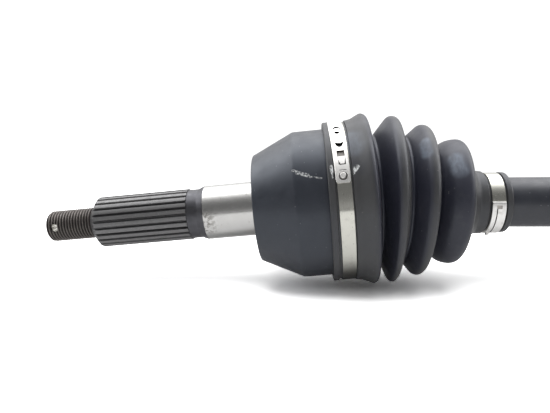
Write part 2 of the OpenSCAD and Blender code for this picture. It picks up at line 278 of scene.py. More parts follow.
def shaped(x, r, phi):
    """Rings at stations x whose radius r[station, side] may vary round the ring."""
    x = np.repeat(np.asarray(x, float)[:, None], r.shape[1], 1)
    return np.stack([x, -r * np.sin(phi), r * np.cos(phi)], -1)


def skin(rings, closed=False):
    """Points and faces joining ring to ring: a tube of rings, capped, or a closed loop."""
    n, m, _ = rings.shape
    i, k = np.meshgrid(np.arange(n if closed else n - 1), np.arange(m), indexing="ij")
    j, l = (i + 1) % n, (k + 1) % m
    quads = np.stack([i * m + k, i * m + l, j * m + l, j * m + k], -1).reshape(-1, 4)
    faces = quads.tolist()
    points = rings.reshape(-1, 3)
    if not closed:
        points = np.vstack([points, rings[0].mean(0), rings[-1].mean(0)])
        first, last = n * m, n * m + 1
        for k in range(m):
            l = (k + 1) % m
            faces.append([first, l, k])
            faces.append([last, (n - 1) * m + k, (n - 1) * m + l])
    return points, faces


def added(name, data):
    obj = bpy.data.objects.new(name, data)
    bpy.context.scene.collection.objects.link(obj)
    return obj


def mesh_object(name, points, faces):
    mesh = bpy.data.meshes.new(name)
    mesh.from_pydata(points.tolist(), [], faces)
    cleaned = bmesh.new()
    cleaned.from_mesh(mesh)
    bmesh.ops.remove_doubles(cleaned, verts=cleaned.verts, dist=1e-5)
    bmesh.ops.recalc_face_normals(cleaned, faces=cleaned.faces)
    cleaned.to_mesh(mesh)
    cleaned.free()
    return added(name, mesh)


def turned(name, outline, sides):
    return mesh_object(name, *skin(turn(outline, sides)))


def join(first, second):
    """Adds the second object's mesh to the first's."""
    merged = bmesh.new()
    merged.from_mesh(first.data)
    merged.from_mesh(second.data)
    merged.to_mesh(first.data)
    merged.free()
    bpy.data.objects.remove(second)
    return first


def cut(obj, cutter):
    """Takes the cutter's volume out of obj; the cut faces get the cutter's material."""
    modifier = obj.modifiers.new("cut", "BOOLEAN")
    modifier.operation = "DIFFERENCE"
    modifier.solver = "EXACT"
    modifier.object = cutter
    modifier.material_mode = "TRANSFER"
    graph = bpy.context.evaluated_depsgraph_get()
    mesh = bpy.data.meshes.new_from_object(obj.evaluated_get(graph))
    obj.modifiers.clear()
    obj.data = mesh
    bpy.data.objects.remove(cutter)
    return obj


def rest_attribute(obj, points):
    """Stores each vertex's place in the piece's own unbent frame, in mm, for its finish."""
    attribute = obj.data.attributes.new("rest_mm", "FLOAT_VECTOR", "POINT")
    attribute.data.foreach_set("vector", np.asarray(points, np.float32).ravel())


def coordinates(obj):
    co = np.zeros(len(obj.data.vertices) * 3, np.float32)
    obj.data.vertices.foreach_get("co", co)
    return co.reshape(-1, 3).astype(float)


def smooth(obj, sharp=38):
    obj.data.shade_smooth()
    obj.data.set_sharp_from_angle(angle=math.radians(sharp))


def settle(obj, place, finish, body, sharp=38):
    """Places a rigid piece drawn in its own frame, gives it its finish and lets it ride."""
    rest_attribute(obj, coordinates(obj))
    obj.data.transform(Matrix.Scale(MM, 4) @ place)
    if place.determinant() < 0:
        obj.data.flip_normals()
    smooth(obj, sharp)
    put_finish(obj, finish)
    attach(obj, body)


def put_finish(obj, finish):
    if not obj.data.materials:
        obj.data.materials.append(finish)
    else:
        obj.data.materials[0] = finish


# --- Finishes ---

class Graph:
    """A shader's node tree, built up step by step."""

    def __init__(self, tree):
        self.tree = tree
        tree.nodes.clear()

    def node(self, kind, inputs=None, **settings):
        """A new shader node; its inputs are given as values or as sockets to link."""
        made = self.tree.nodes.new("ShaderNode" + kind)
        for key, value in settings.items():
            setattr(made, key, value)
        for key, value in (inputs or {}).items():
            if isinstance(value, bpy.types.NodeSocket):
                self.tree.links.new(value, made.inputs[key])
            else:
                made.inputs[key].default_value = value
        return made

    def math(self, operation, a, b=0.0):
        return self.node("Math", {0: a, 1: b}, operation=operation).outputs[0]

    def plus(self, a, b):
        return self.math("ADD", a, b)

    def times(self, first, *others):
        for other in others:
            first = self.math("MULTIPLY", first, other)
        return first

    def vector(self, operation, a, b, output=0):
        return self.node("VectorMath", {0: a, 1: b}, operation=operation).outputs[output]


class Finish(Graph):
    """A procedural material whose patterns are laid out in mm in the piece's own frame."""

    def __init__(self, name):
        self.material = bpy.data.materials.new(name)
        self.material.use_nodes = True
        super().__init__(self.material.node_tree)
        self.rest = self.node("Attribute", attribute_name="rest_mm").outputs["Vector"]
        self.x, self.y, self.z = self.node("SeparateXYZ", {"Vector": self.rest}).outputs
        across = self.math("POWER", self.y, 2.0)
        upright = self.math("POWER", self.z, 2.0)
        self.radius = self.math("SQRT", self.plus(across, upright))
        self.color = None
        self.rough = None
        self.relief = {}

    def span(self, value, low, high, to_low=0.0, to_high=1.0):
        """value mapped smoothly from low..high to to_low..to_high, clamped."""
        inputs = dict(enumerate((value, low, high, to_low, to_high)))
        return self.node("MapRange", inputs, interpolation_type="SMOOTHSTEP").outputs[0]

    def band(self, value, low, high, soft):
        """1 between low and high, fading over soft."""
        rise = self.span(value, low - soft, low)
        fall = self.span(value, high, high + soft, 1.0, 0.0)
        return self.times(rise, fall)

    def noise(self, size, detail=4.0, rough=0.55, stretch=(1, 1, 1)):
        """Noise of about the given feature size in mm, from 0 to 1."""
        inputs = {"Vector": self.vector("MULTIPLY", self.rest, stretch), "Scale": 1 / size,
                  "Detail": detail, "Roughness": rough}
        return self.node("TexNoise", inputs).outputs["Fac"]

    def specks(self, size, share):
        """Small isolated specks: 1 in each, on the given share of the cells."""
        cells = self.node("TexVoronoi", {"Vector": self.rest, "Scale": 1 / size})
        chosen = self.node("SeparateColor", {"Color": cells.outputs["Color"]})
        pick = self.span(chosen.outputs[0], share, share * 0.98)
        return self.times(pick, self.span(cells.outputs["Distance"], 0.34, 0.16))

    def mix(self, share, a, b):
        """Colour a where the share is 0, b where it is 1."""
        inputs = {0: share, 6: opaque(a), 7: opaque(b)}
        return self.node("Mix", inputs, data_type="RGBA").outputs[2]

    def stroke(self, start, end, width):
        """1 along the line from start to end (mm, own frame), fading out at width."""
        along = Vector(end) - Vector(start)
        offset = self.vector("SUBTRACT", self.rest, start)
        dot = self.vector("DOT_PRODUCT", offset, along / along.length_squared, "Value")
        share = self.math("MINIMUM", self.math("MAXIMUM", dot), 1.0)
        foot = self.node("VectorMath", {0: along, "Scale": share}, operation="SCALE")
        gap = self.vector("DISTANCE", offset, foot.outputs[0], "Value")
        return self.span(gap, width, width * 0.35)

    def lay(self, tone, *shares):
        """Lays a tone over the colour, by the product of the shares."""
        self.color = self.mix(self.times(*shares), self.color, tone)

    def mark(self, tone, strength, roughened, *shares):
        """Lays a tone over the colour and roughens the surface, by the product of the shares."""
        share = self.times(*shares)
        self.lay(tone, share, strength)
        self.rough = self.plus(self.rough, self.times(share, roughened))

    def bump(self, height, depth):
        """Adds relief of the given depth in mm from a 0..1 height."""
        inputs = {"Height": height, "Distance": depth * MM, "Strength": 1.0, **self.relief}
        self.relief = {"Normal": self.node("Bump", inputs).outputs["Normal"]}

    def done(self, metal=0.0, specular=0.5, sheen=0.0, tint=(1, 1, 1)):
        inputs = {"Base Color": self.color, "Roughness": self.rough, "Metallic": metal,
                  "Specular IOR Level": specular, "Specular Tint": opaque(tint),
                  "Sheen Weight": sheen, "Sheen Roughness": 0.4, **self.relief}
        shader = self.node("BsdfPrincipled", inputs)
        self.node("OutputMaterial", {"Surface": shader.outputs[0]})
        return self.material


def opaque(color):
    """A colour with its alpha; a socket stays as it is."""
    return color if isinstance(color, bpy.types.NodeSocket) else (*color, 1.0)


def on_surface(x, degrees, r):
    """A point of a turned surface in its own frame."""
    a = math.radians(degrees)
    return (x, -r * math.sin(a), r * math.cos(a))


def strokes(rows, r):
    """Marks (start, end, ...) on radius r, from rows (x, angle, x, angle, ...)."""
    return [(on_surface(x0, a0, r), on_surface(x1, a1, r), *rest) for x0, a0, x1, a1, *rest in rows]


def scaled(color, gain):
    return tuple(min(1, gain * c) for c in color)


def black_paint(name, marks=(), tint=(0.9, 0.97, 1.08)):
    """Satin black paint with fine orange peel, dust, and scratches to bare metal."""
    f = Finish(name)
    f.color = f.mix(f.noise(14, detail=3), (0.019, 0.021, 0.028), (0.028, 0.031, 0.040))
    f.rough = f.span(f.noise(5, detail=5), 0.3, 0.7, 0.3, 0.42)
    f.lay((0.35, 0.36, 0.37), f.specks(0.8, 0.012), 0.4)
    rubbed = f.span(f.noise(2.2, detail=6, rough=0.7), 0.56, 0.7)
    f.lay((0.045, 0.048, 0.055), rubbed, 0.25)
    broken = f.span(f.noise(0.9, detail=5, rough=0.7), 0.42, 0.6)
    for start, end, width, strength in marks:
        f.mark((0.62, 0.63, 0.63), 1.0, 0.2, f.stroke(start, end, width), broken, strength)
    f.bump(f.noise(1.3, detail=2), 0.012)
    f.bump(f.noise(6, detail=2), 0.03)
    return f.done(specular=0.62, tint=tint)


def ground_steel(name, stained_x=None):
    """Bright ground seat with fine grinding lines and pits, stained after stained_x."""
    f = Finish(name)
    f.color = f.mix(f.noise(7, detail=3), (0.56, 0.555, 0.545), (0.66, 0.655, 0.645))
    f.rough = f.span(f.noise(5, detail=4), 0.3, 0.7, 0.15, 0.22)
    lines = f.noise(0.3, detail=2, stretch=(1, 0.03, 0.03))
    f.lay((0.42, 0.415, 0.40), lines, 0.12)
    clusters = f.span(f.noise(6, detail=2), 0.45, 0.6)
    f.lay((0.16, 0.14, 0.12), f.specks(1.5, 0.10), clusters, 0.6)
    # Radians round the piece, from the top towards the front
    about = f.math("ARCTAN2", f.times(f.y, -1.0), f.z)
    upper = f.band(about, 0.65, 0.95, 0.12)
    pits = f.span(f.noise(0.9, detail=4, rough=0.6, stretch=(0.6, 1, 1)), 0.57, 0.66)
    patches = f.span(f.noise(5.5, detail=2), 0.48, 0.6)
    f.mark((0.12, 0.11, 0.09), 0.7, 0.3, pits, patches, upper)
    if stained_x is not None:
        near = f.span(f.x, stained_x + 9.5, stained_x + 1.0)
        front = f.band(about, 1.5, 2.15, 0.25)
        blotches = f.span(f.noise(1.6, detail=5, rough=0.65, stretch=(0.8, 1, 1)), 0.46, 0.58)
        f.mark((0.13, 0.12, 0.10), 0.75, 0.25, near, front, blotches)
    # Painted shade: darker towards the underside, as the reflection of the floor's shadow
    underside_shade = f.span(f.z, -7.5, -11.0)
    f.lay((0.16, 0.16, 0.155), underside_shade, 0.4)
    f.bump(lines, 0.0006)
    return f.done(metal=1.0)


def phosphated_steel(name, root_r, tip_r, dark, light):
    """Dark phosphated steel: painted shade darkens the roots, and the crests are rubbed."""
    f = Finish(name)
    # Darker towards the roots: painted shade in the grooves
    height = f.span(f.radius, root_r, tip_r)
    mottled = f.noise(1.5, detail=6, rough=0.7)
    f.color = f.mix(height, dark, light)
    f.rough = f.span(mottled, 0.3, 0.7, 0.36, 0.55)
    f.lay(scaled(light, 0.55), mottled, 0.5)
    chips = f.span(f.noise(0.8, detail=4, rough=0.6), 0.62, 0.72)
    f.lay(scaled(light, 2.2), chips, height, 0.45)
    f.bump(f.noise(0.5, detail=3), 0.02)
    return f.done(metal=0.65)


def plain_steel(name, color, rough, stretch=(1, 1, 1), dull=0.3):
    """Machined or rolled steel with a brushed direction."""
    f = Finish(name)
    grain = f.noise(0.5, detail=4, stretch=stretch)
    smear = f.noise(4, detail=4)
    f.color = f.mix(f.times(grain, dull), color, scaled(color, 0.6))
    f.rough = f.span(smear, 0.3, 0.7, rough * 0.8, rough * 1.3)
    f.lay(scaled(color, 0.75), smear, 0.25)
    f.bump(grain, 0.006)
    return f.done(metal=1.0)


def drilled_steel():
    """Wall of the cotter hole: dark near its mouth, bright deeper down."""
    f = Finish("drilled_steel")
    depth = f.span(f.math("ABSOLUTE", f.y), THREAD_R - 1.5, THREAD_R - 3.0)
    grain = f.noise(0.4, detail=3, stretch=(1, 0.1, 1))
    f.color = f.mix(depth, (0.05, 0.045, 0.04), (0.92, 0.91, 0.88))
    f.rough = f.span(grain, 0.3, 0.7, 0.15, 0.3)
    f.bump(grain, 0.006)
    return f.done(metal=1.0)


def band_steel(name, lap_r):
    """Rolled stainless band, rougher on its outer layer, with painted shade on its inner layer and along its
    underside.
    """
    f = Finish(name)
    outer = f.span(f.radius, lap_r - 0.15, lap_r + 0.05)
    grain = f.noise(0.5, detail=4, stretch=(1, 0.06, 0.06))
    smear = f.noise(3.5, detail=4)
    # Painted shade: the inner layer is coloured darker than the outer
    f.color = f.mix(outer, (0.645, 0.64, 0.585), (0.95, 0.94, 0.92))
    f.rough = f.plus(f.span(smear, 0.3, 0.7, 0.11, 0.19), f.times(outer, 0.3))
    f.lay((0.45, 0.435, 0.41), grain, 0.15)
    f.lay((0.36, 0.34, 0.31), f.span(smear, 0.5, 0.75), 0.3)
    f.lay((0.2, 0.18, 0.15), f.specks(0.9, 0.08), 0.5)
    # Painted shade along the underside, as the reflection of the floor's shadow
    underside_shade = f.span(f.z, -21.0, -37.0)
    f.lay((0.07, 0.065, 0.06), underside_shade, 0.92)
    f.bump(grain, 0.003)
    return f.done(metal=1.0)


def boot_rubber(name, scuffs=(), painted_highlights=()):
    """Moulded black rubber: dark flanks and a paler cuff, neck and crests, the paleness partly wear and partly
    painted light; scuffs and painted soft highlights.
    """
    f = Finish(name)
    # Paler cuff, neck and crest sides: partly wear, partly painted light where the folds face the light
    retoned = f.math("MAXIMUM", f.span(f.x, *CUFF_WEAR_AND_LIGHT), f.span(f.x, *NECK_WEAR_AND_LIGHT))
    for x, _, _ in CRESTS[1:3]:
        retoned = f.math("MAXIMUM", retoned, f.band(f.x, x + 0.3, x + 3.0, 2.2))
    retoned = f.times(retoned, f.span(f.noise(16, detail=4), 0.25, 0.6, 0.55, 1.0))
    f.color = f.mix(retoned, (0.017, 0.018, 0.029), (0.043, 0.043, 0.043))
    f.rough = f.span(f.noise(8, detail=4), 0.3, 0.7, 0.38, 0.5)
    f.lay((0.050, 0.051, 0.055), f.span(f.noise(5, detail=6, rough=0.68), 0.5, 0.75), 0.3)
    f.lay((0.3, 0.3, 0.3), f.specks(1.0, 0.012), 0.3)
    broken = f.span(f.noise(0.9, detail=5, rough=0.75, stretch=(1, 0.5, 0.5)), 0.42, 0.56)
    for start, end, width in scuffs:
        f.mark((0.72, 0.74, 0.74), 1.0, 0.2, f.stroke(start, end, width), broken)
    # Painted highlights: soft pale patches where the softbox lights the folds
    highlight_cloud = f.span(f.noise(4, detail=3, stretch=(1.6, 0.7, 0.7)), 0.3, 0.7, 0.4, 1.0)
    for start, end, size, strength in painted_highlights:
        f.lay((0.20, 0.235, 0.29), f.stroke(start, end, size), highlight_cloud, strength)
    f.bump(f.noise(0.7, detail=3), 0.012)
    f.bump(f.noise(9, detail=2), 0.08)
    return f.done(specular=0.6, sheen=0.04, tint=(0.95, 0.98, 1.06))


# --- Wheel stub ---

def thread_piece():
    """External thread with a real helix, a chamfered tip, a lathe centre and the cotter hole."""
    sides = 144
    rings_per_pitch = 14
    # Half the crest's and the root's width, as shares of half a pitch
    crest_flat = 0.14
    root_flat = 0.78
    straight = 0.65
    phi = angles(sides)
    x = np.arange(THREAD_TIP, SPLINE_TIP + THREAD_PITCH, THREAD_PITCH / rings_per_pitch)
    turns = x[:, None] / THREAD_PITCH - phi[None, :] / (2 * math.pi)
    off_crest = 2 * np.abs(turns - np.floor(turns) - 0.5)
    sunk = np.clip((off_crest - crest_flat) / (root_flat - crest_flat), 0, 1)
    sunk = sunk * sunk * (3 - 2 * sunk) * (1 - straight) + sunk * straight
    fade = np.clip((SPLINE_TIP + 0.4 - x) / THREAD_PITCH, 0, 1)[:, None]
    r = THREAD_R - 0.05 - THREAD_DEPTH * sunk * fade
    chamfer = THREAD_R - 1.2 + (x - THREAD_TIP)
    body = shaped(x, np.minimum(r, chamfer[:, None]), phi)
    centre = [(THREAD_TIP + 3.0, 0.3), (THREAD_TIP + 0.9, 1.5), (THREAD_TIP, 2.5)]
    rings = np.concatenate([turn(np.array(centre), sides), body])
    obj = mesh_object("axle_nut_thread", *skin(rings))
    # An empty place for the thread's finish, before the drilled wall's
    obj.data.materials.append(None)
    drill = arc(0, 0, COTTER_R, 0, 360, 40)[:-1]
    ends = (-2 * THREAD_R, 2 * THREAD_R)
    rings = np.array([[(COTTER_X + a, side, b) for a, b in drill] for side in ends])
    cutter = mesh_object("drill", *skin(rings))
    cutter.data.materials.append(drilled_steel())
    finish = phosphated_steel("thread_steel", THREAD_R - THREAD_DEPTH, THREAD_R,
                              (0.025, 0.022, 0.021), (0.21, 0.19, 0.18))
    settle(cut(obj, cutter), STUB, finish, "wheel_cup", sharp=55)


def spline_rings(x, tip_r):
    """Rings of a straight-sided spline at stations x; tip_r is the envelope at each."""
    place, sunk = zip(*SPLINE_FLANK)
    half = sorted([*place, 0.3, 0.91])
    share = np.array(half + [2 - h for h in half[-2:0:-1]])
    profile = np.interp(np.minimum(share, 2 - share), place, sunk)
    teeth = np.arange(SPLINE_TEETH)
    phi = ((teeth[:, None] + share[None, :] / 2) * 2 * math.pi / SPLINE_TEETH).ravel()
    depth = np.tile(profile, SPLINE_TEETH) * SPLINE_DEPTH
    r = np.minimum(SPLINE_R - depth[None, :], np.asarray(tip_r, float)[:, None])
    return shaped(x, r, phi)


def wheel_spline():
    lead = SPLINE_TIP + SPLINE_LEAD
    lead_r = THREAD_R + 0.3
    slope = (SPLINE_R - lead_r) / SPLINE_LEAD
    x = [*np.linspace(SPLINE_TIP + 0.02, lead, 9), *np.linspace(lead + 0.3, SPLINE_END, 12)]
    tip = [lead_r + slope * (s - SPLINE_TIP) for s in x]
    x = [SPLINE_TIP, *x, SPLINE_END + 0.15, SPLINE_END + 0.5]
    tip = [THREAD_R - 1, *tip, UNDERCUT_R - 1.9, UNDERCUT_R - 2.2]
    obj = mesh_object("wheel_spline", *skin(spline_rings(x, tip)))
    finish = phosphated_steel("spline_steel", SPLINE_R - SPLINE_DEPTH, SPLINE_R,
                              (0.10, 0.10, 0.104), (0.21, 0.209, 0.212))
    settle(obj, STUB, finish, "wheel_cup", sharp=32)


def undercut():
    outline = rounded([
        (SPLINE_END - 0.05, CORE_R),
        (SPLINE_END - 0.05, UNDERCUT_R, 0.25),
        (UNDERCUT_END, UNDERCUT_R, 1.5),
        (JOURNAL_START, JOURNAL_R - 0.02, 0.6),
        (JOURNAL_START + 0.6, JOURNAL_R - 0.02),
        (JOURNAL_START + 0.6, CORE_R),
    ])
    obj = turned("stub_undercut", outline, 144)
    finish = plain_steel("undercut_steel", (0.105, 0.105, 0.115), 0.4, stretch=(1, 0.05, 0.05))
    settle(obj, STUB, finish, "wheel_cup")


def bearing_journal():
    relief_r = JOURNAL_R - 0.45
    outline = rounded([
        (JOURNAL_START + 0.2, CORE_R),
        (JOURNAL_START + 0.2, JOURNAL_R, 0.35),
        (BELL_FRONT_X - 1.0, JOURNAL_R, 0.3),
        (BELL_FRONT_X - 0.7, relief_r, 0.3),
        (BELL_FRONT_X + 3, relief_r),
        (BELL_FRONT_X + 3, CORE_R),
    ])
    finish = ground_steel("journal_steel", stained_x=JOURNAL_START)
    settle(turned("bearing_journal", outline, 180), STUB, finish, "wheel_cup")


# --- Housings ---

def cut_tracks(obj, centres):
    """Cuts the six ball tracks, each a tube along the centres (x, r)."""
    centres = np.array(centres, float)
    along = np.gradient(centres, axis=0)
    along /= np.linalg.norm(along, axis=1)[:, None]
    normal = np.stack([-along[:, 1], along[:, 0]], -1)
    turnings = np.radians(np.arange(0, 360, 9))
    for i in range(BALLS):
        a = i * 360 / BALLS
        out, side = np.array(on_surface(0, a, 1)), np.array(on_surface(0, a - 90, 1))
        rings = []
        for (x, r), (nx, nr) in zip(centres, normal):
            middle = np.array([x, 0, 0]) + r * out
            up = np.array([nx, 0, 0]) + nr * out
            spokes = (math.cos(t) * up + math.sin(t) * side for t in turnings)
            rings.append([middle + TRACK_R * spoke for spoke in spokes])
        obj = cut(obj, mesh_object("track", *skin(np.array(rings))))
    return obj


def bell():
    """Outer forging of the fixed joint, with its spherical seat and six curved ball tracks."""
    flare_r = math.sqrt(CAVITY_R ** 2 - FLARE_X ** 2)
    floor_angle = math.degrees(math.acos(CAVITY_FLOOR_X / CAVITY_R))
    flare_angle = math.degrees(math.acos(FLARE_X / CAVITY_R))
    groove_r = BELL_R - 0.6
    outside = rounded([
        (BELL_FRONT_X, CAVITY_CORE_R),
        (BELL_FRONT_X, BELL_FRONT_R, 0.9),
        (CONE_END_X, BELL_R, 3.5),
        (LARGE_BAND_X - 2, BELL_R, 0.2),
        (LARGE_BAND_X - 1.8, groove_r, 0.2),
        (LARGE_BAND_X + 1.8, groove_r, 0.2),
        (LARGE_BAND_X + 2, BELL_R, 0.2),
        (MOUTH_X, BELL_R, 0.8),
        (MOUTH_X, flare_r + MOUTH_X - FLARE_X, 0.5),
        (FLARE_X, flare_r),
    ], steps=6)
    seat = arc(0, 0, CAVITY_R, flare_angle, floor_angle, 18)
    outline = np.vstack([outside[:-1], seat, [(CAVITY_FLOOR_X, CAVITY_CORE_R)]])
    # The balls roll on a circle about the joint centre
    path = [(BALL_PITCH_R * math.sin(a), BALL_PITCH_R * math.cos(a))
            for a in np.radians(np.linspace(*TRACK_SPAN, 22))]
    obj = cut_tracks(turned("outboard_bell", outline, 180), path)
    finish = black_paint("bell_paint", strokes(BELL_SCRATCH, BELL_R))
    settle(obj, STUB, finish, "wheel_cup")
    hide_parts("outboard_housing")


def plunge_cup():
    """Outer forging of the plunging joint: a deep bore with six straight ball tracks."""
    outline = rounded([
        (CUP_FLOOR_X, CAVITY_CORE_R),
        (CUP_FLOOR_X, CAVITY_R, 1.0),
        (WIRE_GROOVE_X + 0.9, CAVITY_R, 0.1),
        (WIRE_GROOVE_X + 0.9, CAVITY_R + 1, 0.1),
        (WIRE_GROOVE_X - 0.9, CAVITY_R + 1, 0.1),
        (WIRE_GROOVE_X - 0.9, CAVITY_R, 0.1),
        (CUP_MOUTH_X, CAVITY_R, 0.6),
        (CUP_MOUTH_X, BELL_R, 0.8),
        (CUP_WALL_END, BELL_R, 3.0),
        (CUP_BASE_X, CUP_BASE_R, 2.0),
        (CUP_BASE_X, CAVITY_CORE_R),
    ])
    path = [(x, BALL_PITCH_R) for x in (CUP_MOUTH_X - 4, 0, CUP_FLOOR_X - 3)]
    obj = cut_tracks(turned("gearbox_cup_shell", outline, 180), path)
    settle(obj, GEARBOX, black_paint("cup_paint"), "gearbox_cup")
    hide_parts("inboard_housing")


def gearbox_stub():
    """Seal journal and spline of the gearbox end."""
    root_r = SPLINE_R - SPLINE_DEPTH
    journal = rounded([
        (CUP_BASE_X - 4, CORE_R),
        (CUP_BASE_X - 4, SEAL_R + 1.2),
        (CUP_BASE_X + 0.2, SEAL_R + 1.2, 0.8),
        (CUP_BASE_X + 1.6, SEAL_R, 0.8),
        (SEAL_END, SEAL_R, 0.8),
        (INBOARD_SPLINE_X, root_r - 0.4, 0.8),
        (INBOARD_SPLINE_X + 0.5, root_r - 0.4),
        (INBOARD_SPLINE_X + 0.5, CORE_R),
    ])
    seat = turned("gearbox_seal_journal", journal, 144)
    settle(seat, GEARBOX, ground_steel("seal_journal_steel"), "gearbox_cup")
    groove_r = SPLINE_R - 2.6
    groove_start = STUB_GROOVE_X - 0.9
    groove_end = STUB_GROOVE_X + 0.9
    x, tip = zip(
        (INBOARD_SPLINE_X, root_r - 0.6),
        (INBOARD_SPLINE_X + 0.1, root_r + 0.1),
        (INBOARD_SPLINE_X + 1.8, SPLINE_R),
        (groove_start - 0.01, SPLINE_R),
        (groove_start, groove_r),
        (groove_end, groove_r),
        (groove_end + 0.01, SPLINE_R),
        (INBOARD_TIP - 1.8, SPLINE_R),
        (INBOARD_TIP, SPLINE_R - 2.4),
        (INBOARD_TIP, 2.5),
        (INBOARD_TIP - 1.0, 1.5),
        (INBOARD_TIP - 3.0, 0.3),
    )
    spline = mesh_object("gearbox_spline", *skin(spline_rings(x, tip)))
    finish = phosphated_steel("gearbox_spline_steel", root_r, SPLINE_R,
                              (0.05, 0.05, 0.05), (0.30, 0.295, 0.285))
    settle(spline, GEARBOX, finish, "gearbox_cup", sharp=32)


# --- Boots ---

def crest_arc(i, inset, steps):
    """Top of a fold, swelling more slowly on the side it rises from."""
    x, r, rounding = CRESTS[i]
    start, along, across = RISES[i]
    points = arc(x, r - rounding, rounding - inset, start, FLANK_OUT, steps)
    rising = points[:, 0] < x
    points[rising, 0] = x - (x - points[rising, 0]) * along
    points[rising, 1] = r - inset - (r - inset - points[rising, 1]) * across
    return points


def folds(valleys, inset, crest_steps, valley_steps):
    """Arcs of the crests and of the valleys between them, inset from the outside."""
    out = [crest_arc(0, inset, crest_steps)]
    start, end = 180 + FLANK_OUT, 360 - FLANK_IN
    for i, (x, r, rounding) in enumerate(valleys, 1):
        out.append(arc(x, r + rounding, rounding + inset, start, end, valley_steps))
        out.append(crest_arc(i, inset, crest_steps))
    return out


def spaced(outline, longest):
    """The outline with extra points, so that no step along it is too long to bend smoothly."""
    out = [outline[0]]
    for a, b in zip(outline[:-1], outline[1:]):
        parts = max(1, math.ceil(np.linalg.norm(b - a) / longest))
        out.extend(a + (b - a) * t for t in np.linspace(0, 1, parts + 1)[1:])
    return np.array(out)


def boot_outside(valleys):
    """Outside of the boot from its large lip to the end of its small lip."""
    crests = folds(valleys, 0, 14, 8)
    cuff = rounded([
        (CUFF_START, CUFF_INSIDE_R),
        (CUFF_START, LIP_R, 0.7),
        (GROOVE[0] - 0.2, LIP_R, 0.35),
        (GROOVE[0], GROOVE_R, 0.12),
        (GROOVE[1], GROOVE_R, 0.12),
        (GROOVE[1] + 0.2, LIP_R + 0.05, 0.4),
        (GROOVE[1] + 3.4, LIP_R + 0.5, 8.0),
        tuple(crests[0][0]),
    ])[:-1]
    neck = rounded([
        tuple(crests[-1][-1]),
        (72.2, NECK_R + 3.6, 2.5),
        (75.5, NECK_R + 0.3, 2.5),
        (SMALL_GROOVE[0] - 0.7, NECK_R, 0.5),
        (SMALL_GROOVE[0], SMALL_GROOVE_R, 0.12),
        (SMALL_GROOVE[1], SMALL_GROOVE_R, 0.12),
        (SMALL_GROOVE[1] + 0.25, SMALL_LIP_R, 0.3),
        (SMALL_LIP_END, SMALL_LIP_R - 0.15, 1.0),
        (SMALL_LIP_END + 0.05, NECK_INSIDE_R),
    ])[1:]
    return spaced(np.vstack([cuff, *crests, neck]), 1.2)


def boot_inside(valleys):
    """Inside of the boot, from its large lip to its small one."""
    cuff = [(CUFF_START, CUFF_INSIDE_R), (MOUTH_X + 1, CUFF_INSIDE_R)]
    neck = [(73.0, NECK_R - 0.2), (78.0, NECK_INSIDE_R), (SMALL_LIP_END + 0.05, NECK_INSIDE_R)]
    return spaced(np.vstack([cuff, *folds(valleys, BOOT_WALL, 6, 4), neck]), 2.4)


def boot_loop(valleys, first=None, last=None):
    """Closed wall outline, whole or only between two stations that cut it square."""
    outside, inside = boot_outside(valleys), boot_inside(valleys)
    if first is None:
        inside = inside[1:]
    if last is None:
        inside = inside[:-1]
    for station, keep_after in ((first, True), (last, False)):
        if station is not None:
            outside = trimmed(outside, station, keep_after)
            inside = trimmed(inside, station, keep_after)
    return np.vstack([outside, inside[::-1]])


def trimmed(outline, station, keep_after):
    """The part of an outline after (or before) a station, with its end exactly on it."""
    x = outline[:, 0]
    i = int(np.flatnonzero((x[:-1] <= station) & (station < x[1:]))[0])
    a, b = outline[i], outline[i + 1]
    meet = a + (b - a) * (station - a[0]) / (b[0] - a[0])
    if keep_after:
        return np.vstack([meet, outline[i + 1:]])
    return np.vstack([outline[:i + 1], meet])


def ride_with_rest_flex(points):
    """Boot points drawn on a straight joint, moved to how the folds lie at rest."""
    stations, lifts, leans = zip(*FOLD_RIDE)
    x = points[:, 0]
    flex = math.radians(REST_FLEX)
    lift = smooth_curve(stations, lifts, x) * math.sin(flex)
    lean = smooth_curve(stations, leans, x) * flex
    hold = np.clip(1 - x / CUFF_HOLD_END, 0, 1)
    forward = x - hold * x * (1 - math.cos(flex))
    return np.stack([
        forward + points[:, 2] * np.sin(lean),
        points[:, 1],
        lift + points[:, 2] * np.cos(lean),
    ], -1)


def boot_piece(name, loop, sides):
    obj = mesh_object(name, *skin(turn(loop, sides), closed=True))
    rest_attribute(obj, coordinates(obj))
    return obj


def let_bend(obj, rubber, node):
    """Finishes a boot piece: smooth shading, its rubber, the CAD boot hidden and its place baked into the mesh."""
    smooth(obj, 50)
    put_finish(obj, rubber)
    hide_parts(node)
    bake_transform(obj)


def outboard_boot():
    obj = boot_piece("outboard_boot_bellows", boot_loop(VALLEYS), 240)
    bent = ride_with_rest_flex(coordinates(obj)) * MM
    obj.data.vertices.foreach_set("co", bent.astype(np.float32).ravel())
    scuffs = strokes(LIP_SCUFFS, LIP_R)
    # A fan of fine scuffs behind the clamp
    for spread in np.linspace(0, 1, 6):
        low_end = on_surface(15.7 + 0.7 * spread, 66.4 - 0.8 * spread, LIP_R + 0.2)
        high_end = on_surface(16.0 + 2.6 * spread, 60.6 + 1.9 * abs(spread - 0.45), LIP_R + 0.5)
        scuffs.append((low_end, high_end, 0.42))
    painted_highlights = []
    for r, *row in BOOT_PAINTED_HIGHLIGHTS:
        painted_highlights += strokes([row], r)
    rubber = boot_rubber("outboard_rubber", scuffs, painted_highlights)
    let_bend(obj, rubber, "outboard_boot")


